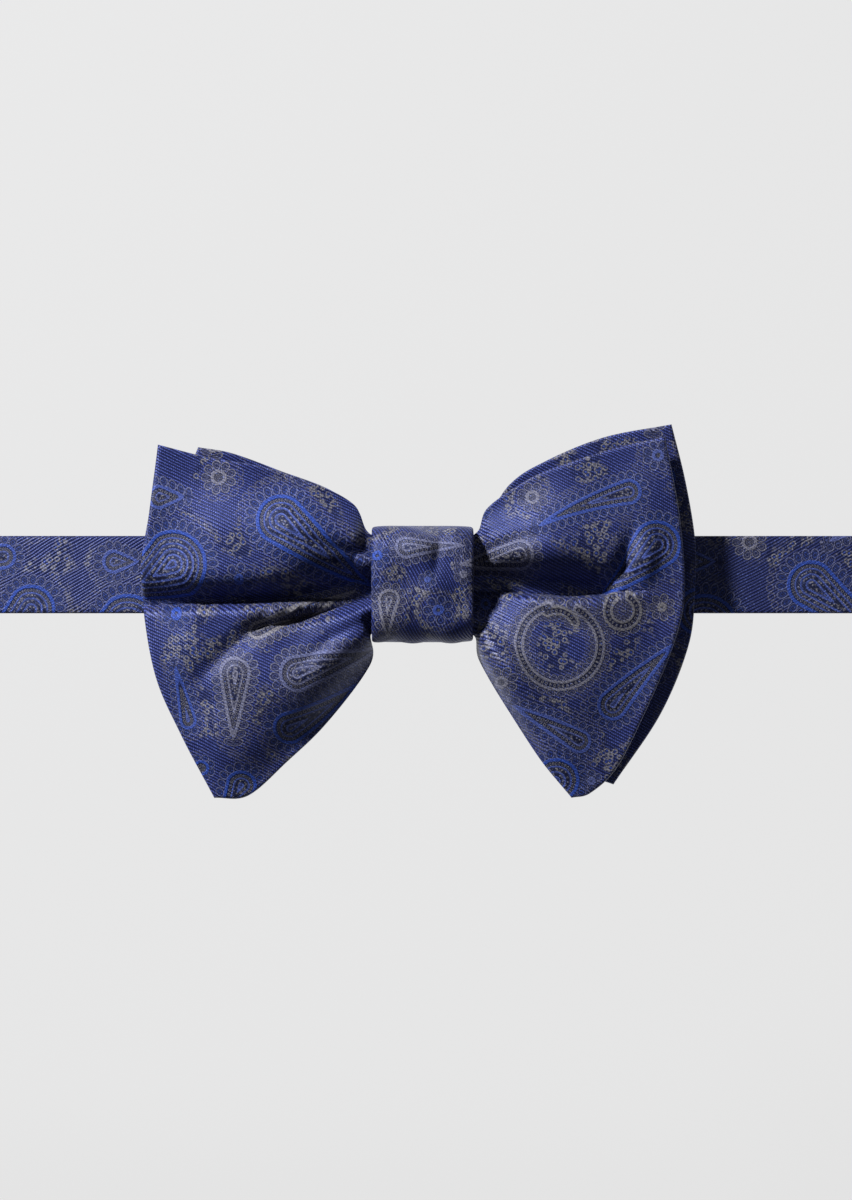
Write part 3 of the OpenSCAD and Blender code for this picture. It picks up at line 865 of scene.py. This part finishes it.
@dataclass
class Bow:
    """The front and the rear bow: each is one sheet of two plies, gathered at the waist."""

    ply_pair: float = 1.3
    waist: tuple[Point, ...] = ((0.0, 9.5), (11.8, 11.4))
    crest: float = 12.7
    lobe: float = 16.4
    valley: float = 5.6
    rim: float = 9.0
    front_edge: float = 11.4
    edge_slope: float = 0.6
    lobe_from: float = 0.2
    lobe_span: float = 0.3
    edge_from: float = 0.5
    edge_span: float = 0.5
    valley_long: float = 0.8
    tuck_under: float = 3.4
    tuck_from: float = 0.72
    tuck_span: float = 0.28
    gathers: int = 13
    gather_high: float = 0.16
    gather_from: float = 10.0
    gather_long: float = 9.0
    slack_high: float = 0.45
    touch_soft: float = 2.0
    rear_waist: float = 3.7
    rear_edge: float = 5.8
    between_bows: float = 1.45
    cut_length: float = 0.134
    cut_width: float = 0.088
    cut_share: float = 0.66
    rear_ripple: float = 0.3
    rear_cloth: Point = (37.0, 21.0)
    front_steps: tuple[int, int] = (236, 136)
    rear_steps: tuple[int, int] = (190, 110)
    front_left: Wing = Wing(
        ((0.19, -0.385), (0.34, -0.65), (0.48, -0.83), (0.62, -0.99), (0.74, -1)),
        ((0.246, 0.5), (0.4, 0.64), (0.58, 0.735), (0.76, 0.79), (0.94, 0.87)),
        ((0.94, 0.87), (0.97, 0.46), (1, 0.04), (0.955, -0.4), (0.86, -0.7), (0.74, -1)),
    )
    front_right: Wing = Wing(
        ((0.215, -0.36), (0.315, -0.59), (0.43, -0.82), (0.545, -1)),
        ((0.24, 0.48), (0.4, 0.665), (0.55, 0.765), (0.72, 0.855), (0.886, 0.92)),
        ((0.886, 0.92), (0.94, 0.42), (0.958, -0.04), (0.917, -0.285), (0.825, -0.567), (0.714, -0.85),
         (0.615, -0.976), (0.545, -1)),
    )
    rear_left: Wing = Wing(
        ((0.2, -0.36), (0.35, -0.62), (0.55, -0.88), (0.685, -0.94)),
        ((0.3, 0.56), (0.515, 0.715), (0.68, 0.82), (0.8, 0.857)),
        ((0.8, 0.857), (0.9, 0.41), (0.925, 0.01), (0.877, -0.4), (0.785, -0.69), (0.685, -0.94)),
    )
    rear_right: Wing = Wing(
        ((0.222, -0.365), (0.333, -0.61), (0.49, -0.84), (0.7, -0.94)),
        ((0.317, 0.62), (0.454, 0.773), (0.667, 0.92), (0.913, 1)),
        ((0.913, 1), (0.965, 0.64), (1, 0.27), (0.999, -0.03), (0.976, -0.286), (0.873, -0.61),
         (0.7, -0.94)),
    )
    folds: tuple[Fold, ...] = (
        Fold(((-67, -5.2), (-53, -4.8), (-38, -4.4), (-24, -3.6), (-9, -1.6)),
             (4.0, 9.0, 11.0, 9.0, 6.0), 3.9, 1.0),
        Fold(((-38, -10.6), (-28, -8.2), (-13, -4.0)), (0.8, 5.0, 4.6), 2.2, 1.2),
        Fold(((-42, -8.0), (-31, -6.1), (-22, -4.6)), (-0.3, -1.0, -0.5), 1.5, 1.5),
        Fold(((-53, -23), (-44, -15), (-37, -9.2)), (0.2, 1.9, 2.2), 2.6, 2.0),
        Fold(((-38, 12), (-24, 9.6), (-11, 6.4)), (0.1, 0.9, 1.6), 2.0, 1.6),
        Fold(((-31, -21), (-21, -12.6), (-11, -7.4)), (0.1, 1.2, 1.6), 1.8, 1.8),
        Fold(((-58, -30), (-52, -12), (-58, 14)), (0.1, -0.9, 0.1), 4.0, 4.0),
        Fold(((9, -0.6), (23, -2.0), (34, -2.9), (45, -2.4)), (8.0, 15.0, 16.0, 3.0), 5.6, 0.8),
        Fold(((42, -2.0), (46.4, 4.0), (48.6, 13)), (2.0, 3.0, 0.4), 2.4, 1.5),
        Fold(((50, -4), (51.8, 6), (52.4, 14)), (-0.1, -1.4, -0.1), 2.2, 2.2),
        Fold(((11, 6.4), (23, 10.4), (36, 12.5)), (1.6, 0.9, 0.1), 1.8, 1.8),
        Fold(((11, -7.4), (20, -13.4), (27, -22)), (1.6, 1.0, 0.1), 1.8, 1.8),
        Fold(((24, -8), (38, -9.5), (50, -14)), (0.1, 1.0, 0.1), 3.0, 3.0),
    )

    def flat(self, left: Wing, right: Wing, along: Grid, across: Grid) -> Grid:
        """Spreads two wings, from the left tip to the right tip.

        Args:
            left: the left wing.
            right: the right wing.
            along: shares from tip to tip.
            across: shares from the lower to the upper edge.

        Returns:
            Places across and up the bow.
        """
        u = 2 * along - 1
        on_left = left.surface(LEFT_REACH, self.waist, np.maximum(-u, 0), across)
        on_right = right.surface(RIGHT_REACH, self.waist, np.maximum(u, 0), across)
        return np.where((u < 0)[..., None], on_left, on_right)

    def rear_height(self, along: Grid, across: Grid) -> Grid:
        """The rear bow's height, almost flat and rising to its outer edges.

        Args:
            along: shares from tip to tip.
            across: shares from the lower to the upper edge.

        Returns:
            The height of its middle surface.
        """
        u = np.abs(2 * along - 1)
        ripple = self.rear_ripple * np.sin(9 * across + 4 * along) * ease(u * 2)
        return mix(self.rear_waist, self.rear_edge, ease((u - self.edge_from) / self.edge_span)) + ripple

    def front_height(self, along: Grid, across: Grid, places: Grid) -> Grid:
        """The front bow's height: two puffed lobes a side, the folds between them and the gathers.

        Args:
            along: shares from tip to tip.
            across: shares from the lower to the upper edge.
            places: the same points as places across and up the bow.

        Returns:
            The height of its middle surface.
        """
        u = np.abs(2 * along - 1)
        off = np.abs(2 * across - 1)
        lobe = mix(self.crest, self.lobe, ease((u - self.lobe_from) / self.lobe_span))
        crest = mix(lobe, self.front_edge, ease((u - self.edge_from) / self.edge_span))
        valley = mix(self.valley, crest, ease(u / self.valley_long))
        rim = mix(self.rim, self.front_edge - self.edge_slope, ease(u))
        up = np.cos(math.tau * off)
        height = np.where(off < 0.5, mix(valley, crest, (1 - up) / 2), mix(crest, rim, (1 + up) / 2))
        near_rim = ease((off - self.tuck_from) / self.tuck_span) * (across < 0.5)
        height = height - self.tuck_under * near_rim * (1 - ease(u - self.lobe_from))
        x, y = places[..., 0], places[..., 1]
        fade = np.exp(-((np.hypot(x, y) - self.gather_from) / self.gather_long) ** 2)
        gathers = np.sin(self.gathers * np.arctan2(y, np.abs(x)) + np.sign(x)) * fade
        slack = np.sin(0.21 * x + 0.13 * y) * np.sin(0.11 * x - 0.24 * y + 1)
        height = height + self.gather_high * gathers + self.slack_high * slack * ease(u * 2)
        for fold in self.folds:
            height = height - fold.depth(places)
        floor = self.rear_height(along, across) + self.between_bows
        return floor + np.logaddexp(0, self.touch_soft * (height - floor)) / self.touch_soft

    def front_surface(self, along: Grid, across: Grid) -> Grid:
        """The front bow's middle surface."""
        places = self.flat(self.front_left, self.front_right, along, across)
        return np.dstack([places, self.front_height(along, across, places)])

    def rear_surface(self, along: Grid, across: Grid) -> Grid:
        """The rear bow's middle surface."""
        places = self.flat(self.rear_left, self.rear_right, along, across)
        return np.dstack([places, self.rear_height(along, across)])

    def build(self, silk: bpy.types.Material, thread: bpy.types.Material) -> None:
        """Makes both bows and dresses the gathering thread.

        Args:
            silk: the wings' silk.
            thread: the thread's finish.
        """
        size = (RIGHT_REACH - LEFT_REACH, BOW_RISE + BOW_DROP)
        front = PlyPair(
            "front_bow", self.front_surface,
            lambda along, across: self.flat(self.front_left, self.front_right, along, across),
            size, self.front_steps, self.ply_pair,
        ).make(silk)
        rear = PlyPair(
            "rear_bow", self.rear_surface,
            lambda along, across: (
                self.flat(self.rear_left, self.rear_right, along, across) + self.rear_cloth
            ),
            size, self.rear_steps, self.ply_pair,
        ).make(silk)
        for piece, node, under in ((front, "front_bow", "rear_bow"), (rear, "rear_bow", "waist_thread")):
            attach(piece, "bow")
            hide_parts(f"{node}_face", f"{node}_interlining", f"{node}_back")
            LOG.info("%s: %d faces", piece.name, len(piece.data.polygons))
        bpy.data.objects["waist_thread"].data.materials.clear()
        bpy.data.objects["waist_thread"].data.materials.append(thread)


# ---- The knot


@dataclass
class Knot:
    """The band wrapped round the waist, lapped edge to edge at the back and sewn there."""

    thickness: float = 1.3
    back_corner: float = 2.2
    front_corner: float = 6.0
    seam: float = 0.5
    crown: float = 0.9
    tuck: float = 0.7
    corner_steps: int = 16
    front_from: float = 4.0
    front_span: float = 8.0
    wrinkle: float = 0.32
    cross_wrinkle: float = 0.22
    dent: float = 0.9
    dent_x: float = 2.6
    dent_wide: float = 1.5
    narrowing: float = 0.028
    lip_from: float = 6.0
    lip_span: float = 7.0
    dip: float = 1.3
    dip_x: float = 2.0
    dip_wide: float = 4.5
    lower_wave: float = 0.35
    steps: tuple[int, int] = (70, 190)
    stitches: int = 5
    stitch_long: float = 3.0
    stitch_thick: float = 0.28
    stitch_lean: float = 0.3
    stitch_z: float = 0.05

    def loop(self) -> Grid:
        """Draws the wrap's middle line, from one lip of the seam round the front to the other.

        Returns:
            Its points in y and z.
        """
        low, high = Frame.low("knot_wrap"), Frame.high("knot_wrap")
        inset = self.thickness / 2
        half, base, top = (high.y - low.y) / 2 - inset, low.z + inset, high.z - inset
        path = [(-self.seam / 2 - inset, base)]
        corners = ((-1, -1, self.back_corner, 270), (-1, 1, self.front_corner, 180),
                   (1, 1, self.front_corner, 90), (1, -1, self.back_corner, 0))
        for side, up, radius, start in corners:
            centre = (side * (half - radius), top - radius if up > 0 else base + radius)
            for angle in np.radians(np.linspace(start, start - 90, self.corner_steps)):
                path.append((centre[0] + radius * math.cos(angle), centre[1] + radius * math.sin(angle)))
        path.append((self.seam / 2 + inset, base))
        return np.array(path)

    def surface(self, along: Grid, across: Grid) -> Grid:
        """The wrap's middle surface.

        Args:
            along: shares across the bow.
            across: shares round the loop.

        Returns:
            Its points.
        """
        path = self.loop()
        run = np.concatenate([[0], np.cumsum(np.linalg.norm(np.diff(path, axis=0), axis=1))])
        y = np.interp(across * run[-1], run, path[:, 0])
        z = np.interp(across * run[-1], run, path[:, 1])
        x = (2 * along - 1) * Frame.high("knot_wrap").x
        edge = np.abs(2 * along - 1)
        front = ease((z - self.front_from) / self.front_span)
        crease = self.wrinkle * np.sin(0.62 * x + 0.18 * y + 0.6)
        crease = crease + self.cross_wrinkle * np.sin(0.31 * x - 0.5 * y)
        dent = self.dent * np.exp(-((x - self.dent_x - 0.12 * y) / self.dent_wide) ** 2)
        crease = crease - dent * ease((y + 2) / 10)
        z = z + front * ((1 - edge**2) * self.crown - edge**8 * self.tuck + crease)
        y = y * (1 - self.narrowing * edge**6)
        dip = np.exp(-(((x - self.dip_x) / self.dip_wide) ** 2))
        y = y - ease((y - self.lip_from) / self.lip_span) * front * self.dip * dip
        y = y + ease((-y - self.lip_from) / self.lip_span) * front * self.lower_wave * np.sin(0.7 * x)
        return np.dstack([x, y, z])

    def build(self, silk: bpy.types.Material, thread: bpy.types.Material) -> None:
        """Makes the wrap and its stitches.

        Args:
            silk: the knot's silk.
            thread: the thread's finish.
        """
        length = float(np.linalg.norm(np.diff(self.loop(), axis=0), axis=1).sum())
        wide = 2 * Frame.high("knot_wrap").x
        wrap = PlyPair(
            "knot", self.surface,
            lambda along, across: np.dstack([(along - 0.5) * wide, (across - 0.5) * length]),
            (wide, length), self.steps, self.thickness,
        ).make(silk)
        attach(wrap, "bow")
        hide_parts("knot_wrap", "knot_interlining")
        bm = bmesh.new()
        for k in range(self.stitches):
            x = (k - (self.stitches - 1) / 2) * wide / (self.stitches + 1)
            half, lean = self.stitch_long / 2, self.stitch_lean
            ends = (x - lean, -half, self.stitch_z), (x + lean, half, self.stitch_z)
            lay_stitch(bm, *ends, self.stitch_thick)
        sewn = keep("knot_stitches_thread", bm, thread)
        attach(sewn, "bow")
        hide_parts("knot_stitches")
        LOG.info("knot: %d faces, %d stitches", len(wrap.data.polygons), self.stitches)


def lay_stitch(
    bm: bmesh.types.BMesh, start: Sequence[float], end: Sequence[float], thick: float
) -> None:
    """Adds one rounded stitch between two points.

    Args:
        bm: the mesh to add to.
        start: where it comes up.
        end: where it goes down.
        thick: the thread's radius.
    """
    run = Vector(end) - Vector(start)
    turn = run.to_track_quat("Z", "X").to_matrix().to_4x4()
    place = Matrix.Translation((Vector(start) + Vector(end)) / 2) @ turn
    size = Matrix.Diagonal((thick, thick, run.length / 2 + thick, 1))
    bmesh.ops.create_uvsphere(bm, u_segments=10, v_segments=8, radius=1, matrix=place @ size)


# ---- The neckband


@dataclass(frozen=True)
class Length:
    """One length of the neckband, between two bodies, from one place where the band bends or slides to the
    next.

    path is its middle line in x and z. start and end are where it starts and ends to follow the second
    body, and are not used.
    """

    name: str
    path: tuple[Point, ...]
    bodies: tuple[str, str]
    start: float
    end: float
    nodes: tuple[str, ...]


@dataclass
class Neckband:
    """The adjustable neckband: a folded strap of silk in separate lengths, split where the band bends or
    slides.
    """

    thickness: float = 1.0
    steps_wide: int = 34
    pitch: float = 0.62
    cloth_shift: Point = (11.0, 17.0)
    pass_x: float = 13.0
    ramp_x: float = 20.0
    step_from: float = 0.5
    step_to: float = 6.5
    slide_out: float = 7.0
    slide_lead: float = 1.0
    fold_lead: float = 6.0
    fold_lap: float = 3.0
    tail_follow: float = 9.0
    loop_radius: float = 1.15
    loop_reach: float = 1.65
    lap_ramp: tuple[Point, Point] = ((0.8, 2.8), (5.2, 1.56))
    lap_end: Point = (7.5, 1.56)
    turn_steps: int = 15
    tack_pitch: float = 0.42
    tack_thick: float = 0.24
    tack_inset: float = 0.1
    tack_lean: float = 0.12
    tack_faces: tuple[float, float] = (0.02, 2.08)

    def lengths(self) -> list[Length]:
        """Lays the band out, from the knot to the eye and then to the hook.

        Returns:
            Its lengths.
        """
        half = self.thickness / 2
        joints = (("band_centre", "right_band_near"), ("right_band_near", "right_band_middle"),
                  ("right_band_middle", "right_band_end"))
        bends = [(Frame.high(a).x + Frame.low(b).x) / 2 for a, b in joints]
        first, second = (bends[0] + bends[1]) / 2, (bends[1] + bends[2]) / 2
        under_knot = (self.pass_x, Frame.high("band_centre").z - half)
        run_z = Frame.high("right_band_end").z - half
        slide_x = bends[2] + self.slide_out
        fold_out = Frame.high("hook_fold").z / 2
        fold_x = Frame.high("hook_fold").x - fold_out
        lap_x = fold_x - self.fold_lap
        eye_x = Frame.low("left_band_end").x + self.loop_reach
        adjuster_x = Frame.low("adjuster_loop").x + self.loop_reach
        step = (bends[2] + self.step_from, half), (bends[2] + self.step_to, run_z)
        inner = ((0.0, under_knot[1]), under_knot, *self.ramp(under_knot, (self.ramp_x, half)), (first, half))
        outer = ((first, half), (second, half))
        turn_out = [(fold_x + (fold_out - half) * math.sin(a), fold_out + (fold_out - half) * math.cos(a))
                    for a in np.linspace(0, math.pi, self.turn_steps)]
        return [
            Length("band_left_inner", tuple((-x, z) for x, z in inner), ("bow", "left_near"),
                   -(2 * bends[0] - first), -first, ("band_centre", "band_centre_interlining")),
            Length("band_left_outer", tuple((-x, z) for x, z in outer), ("left_near", "left_middle"),
                   -first, -second, ("left_band_near", "left_band_near_interlining")),
            Length("band_left_tip", ((-second, half), (eye_x, half), *self.lap(eye_x)),
                   ("left_middle", "left_end"), -second, -(2 * bends[2] - second),
                   ("left_band_middle", "left_band_middle_interlining",
                    "left_band_end", "left_band_end_interlining")),
            Length("band_right_inner", inner, ("bow", "right_near"), 2 * bends[0] - first, first, ()),
            Length("band_right_outer", outer, ("right_near", "right_middle"),
                   first, second, ("right_band_near", "right_band_near_interlining")),
            Length("band_right_run", ((second, half), step[0], *self.ramp(*step), (slide_x, run_z)),
                   ("right_middle", "right_end"), 2 * bends[2] - slide_x, slide_x,
                   ("right_band_middle", "right_band_middle_interlining")),
            Length("band_right_length", ((slide_x, run_z), (lap_x, run_z), *turn_out, (lap_x, half)),
                   ("right_end", "hook_end"), slide_x + self.slide_lead, fold_x - self.fold_lead,
                   ("right_band_end", "right_band_end_interlining", "band_run", "hook_fold")),
            Length("band_right_tail", ((lap_x, half), (adjuster_x, half), *self.lap(adjuster_x)),
                   ("hook_end", "adjuster"), lap_x, adjuster_x + self.tail_follow,
                   ("adjuster_tail", "adjuster_loop")),
        ]

    @staticmethod
    def ramp(start: Point, end: Point) -> list[Point]:
        """An eased rise from one point to another."""
        shares = np.linspace(0, 1, 9)
        return [(float(mix(start[0], end[0], s)), float(mix(start[1], end[1], ease(s)))) for s in shares]

    def lap(self, bar: float) -> list[Point]:
        """Takes the strap round a bar and back to the right over itself.

        Args:
            bar: the bar's x.

        Returns:
            The middle line's points.
        """
        turn = [(bar - self.loop_radius * math.sin(a), self.loop_reach - self.loop_radius * math.cos(a))
                for a in np.linspace(0, math.pi, self.turn_steps)]
        rise, rest = ((bar + x, z) for x, z in self.lap_ramp)
        return turn[1:] + self.ramp(rise, rest) + [(bar + self.lap_end[0], self.lap_end[1])]

    def make(self, length: Length, silk: bpy.types.Material) -> bpy.types.Object:
        """Makes one length of the band.

        Args:
            length: the length.
            silk: the band's silk.

        Returns:
            The piece.
        """
        path = np.array([p for k, p in enumerate(length.path) if k == 0 or p != length.path[k - 1]])
        run = np.concatenate([[0], np.cumsum(np.linalg.norm(np.diff(path, axis=0), axis=1))])
        side = math.copysign(1.0, path[1, 0] - path[0, 0])

        def surface(along: Grid, across: Grid) -> Grid:
            """The strap's middle surface."""
            x = np.interp(along * run[-1], run, path[:, 0])
            z = np.interp(along * run[-1], run, path[:, 1])
            return np.dstack([x, BAND_Y + side * (2 * across - 1) * BAND_HALF, z])

        def cloth(along: Grid, across: Grid) -> Grid:
            """The place on the cloth, which runs on from one length to the next."""
            far = path[0, 0] + side * along * run[-1]
            return np.dstack([far, side * (2 * across - 1) * BAND_HALF]) + self.cloth_shift

        steps = max(12, round(run[-1] / self.pitch))
        piece = PlyPair(length.name, surface, cloth, (float(run[-1]), 2 * BAND_HALF),
                        (steps, self.steps_wide), self.thickness, (Ends.CUT, Ends.CUT)).make(silk)
        middle = (KNOT_Y + BAND_Y) * MM
        start, end = ((x * MM, middle, 0) for x in (length.start, length.end))
        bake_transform(piece)
        if length.nodes:
            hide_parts(*length.nodes)
        return piece

    def tack(self, node: str, body: str, thread: bpy.types.Material) -> None:
        """Sews a bar tack of close stitches over each face of a lap.

        Args:
            node: the frame's node that holds its place.
            body: the body that it moves with.
            thread: the thread's finish.
        """
        low, high = Frame.low(node), Frame.high(node)
        bm = bmesh.new()
        rows = int((high.y - low.y) / self.tack_pitch)
        for k in range(rows + 1):
            y = mix(low.y, high.y, k / rows) - KNOT_Y
            for z in self.tack_faces:
                ends = (low.x + self.tack_inset, y, z), (high.x - self.tack_inset, y + self.tack_lean, z)
                lay_stitch(bm, *ends, self.tack_thick)
        piece = keep(f"{node}_thread", bm, thread)
        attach(piece, body)
        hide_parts(node)

    def build(self, silk: bpy.types.Material, thread: bpy.types.Material) -> None:
        """Makes every length, the tacks and the ends' stitching.

        Args:
            silk: the band's silk.
            thread: the thread's finish.
        """
        for length in self.lengths():
            piece = self.make(length, silk)
            LOG.info("%s: %d faces", piece.name, len(piece.data.polygons))
        self.tack("eye_bar_tack", "left_end", thread)
        self.tack("adjuster_bar_tack", "adjuster", thread)
        bpy.data.objects["band_tacks"].data.materials.clear()
        bpy.data.objects["band_tacks"].data.materials.append(thread)


# ---- The hardware


@dataclass
class Hardware:
    """The hook, the eye and the adjuster, with the soft edges of stamped and plated metal."""

    soft_edge: float = 0.14
    corner: float = 25.0
    flat_within: float = 2.0
    smooth_within: float = 35.0

    def dress(self, node: str, metal: bpy.types.Material) -> None:
        """Softens a copy of a part's shape, which stands for it.

        Args:
            node: the frame's part, and the body that it moves with.
            metal: its finish.
        """
        bm = bmesh.new()
        bm.from_mesh(bpy.data.objects[node].data)
        bmesh.ops.remove_doubles(bm, verts=bm.verts[:], dist=1e-6)
        flat = math.radians(self.flat_within)
        bmesh.ops.dissolve_limit(bm, angle_limit=flat, verts=bm.verts[:], edges=bm.edges[:])
        bmesh.ops.recalc_face_normals(bm, faces=bm.faces[:])
        sharp = [e for e in bm.edges if e.is_manifold and e.calc_face_angle() > math.radians(self.corner)]
        bmesh.ops.bevel(
            bm, geom=sharp, offset=self.soft_edge * MM, offset_type="OFFSET", affect="EDGES", segments=3,
            profile=0.5, material=-1, clamp_overlap=True,
        )
        bmesh.ops.triangulate(bm, faces=[face for face in bm.faces if len(face.verts) > 4])
        bmesh.ops.transform(bm, matrix=TO_FRAME.inverted(), verts=bm.verts[:])
        piece = keep(f"{node}_metal", bm, metal, self.smooth_within)
        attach(piece, node)
        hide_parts(node)
        LOG.info("%s: %d faces", piece.name, len(piece.data.polygons))

    def build(self, metal: bpy.types.Material) -> None:
        """Dresses all three.

        Args:
            metal: their finish.
        """
        for node in ("hook", "eye", "adjuster"):
            self.dress(node, metal)


# ---- The studio


@dataclass
class Studio:
    """A low lamp from the upper left, a faint fill, a camera straight above and a pale floor.

    The floor hangs floor_gap millimetres below the tie, which leaves room for the neck loop to curl.
    """

    distance: float = 1.5
    lens: float = 193.5
    middle: Point = (0.0008, 0.0025)
    floor_half: float = 4.0
    floor_gap: float = 160.0
    lights: tuple[tuple[str, Vector, float, float], ...] = (
        ("key", Vector((-0.40, 0.41, 0.38)), 0.09, 10.8),
        ("fill", Vector((0.3, -0.2, 1.3)), 0.9, 1.5),
    )
    sky: float = 0.07

    def floor(self, finish: bpy.types.Material) -> None:
        """Lays the floor.

        Args:
            finish: its material.
        """
        bm = bmesh.new()
        bmesh.ops.create_grid(bm, x_segments=4, y_segments=4, size=self.floor_half / MM)
        bmesh.ops.translate(bm, vec=(0, 0, CAD_BOX[0][2] / MM - self.floor_gap), verts=bm.verts[:])
        keep("floor", bm, finish)

    def light(self) -> None:
        """Hangs the lamps and sets the sky's even light."""
        for name, place, size, power in self.lights:
            lamp = bpy.data.lights.new(name, "AREA")
            lamp.size, lamp.energy = size, power
            holder = bpy.data.objects.new(name, lamp)
            holder.location = place
            holder.rotation_euler = (-place).to_track_quat("-Z", "Y").to_euler()
            bpy.context.scene.collection.objects.link(holder)
        world = bpy.data.worlds.new("studio")
        world.use_nodes = True
        world.node_tree.nodes["Background"].inputs["Color"].default_value = dye(240, 243, 250)
        world.node_tree.nodes["Background"].inputs["Strength"].default_value = self.sky
        bpy.context.scene.world = world

    def camera(self) -> None:
        """Hangs the camera over the bow."""
        lens = bpy.data.cameras.new("camera")
        lens.lens = self.lens
        lens.clip_start, lens.clip_end = 0.01, 20
        holder = bpy.data.objects.new("camera", lens)
        holder.location = (*self.middle, self.distance)
        bpy.context.scene.collection.objects.link(holder)
        bpy.context.scene.camera = holder

    def build(self, ground: bpy.types.Material) -> None:
        """Sets the studio up.

        Args:
            ground: the floor's material.
        """
        self.camera()
        self.light()
        self.floor(ground)
        bpy.context.scene.view_settings.view_transform = "Standard"


def main() -> None:
    """Builds the bow tie and its studio."""
    logging.basicConfig(level=logging.INFO, format="%(message)s")
    Studio().build(PaleGround().make())
    thread = SewingThread().make()
    Bow().build(JacquardSilk("bow_silk", -26).make(), thread)
    # The knot's and the band's silk get a darker light yarn than the bow's: painted shade for the dimmer look
    # of those parts under the lamps. Their twill directions differ for real.
    Knot().build(JacquardSilk("knot_silk_painted_shade", -62, light=dye(60, 72, 146)).make(), thread)
    Neckband().build(JacquardSilk("band_silk_painted_shade", 30, light=dye(50, 60, 124)).make(), thread)
    Hardware().build(BrightNickel().make())


if __name__ == "__main__":
    main()
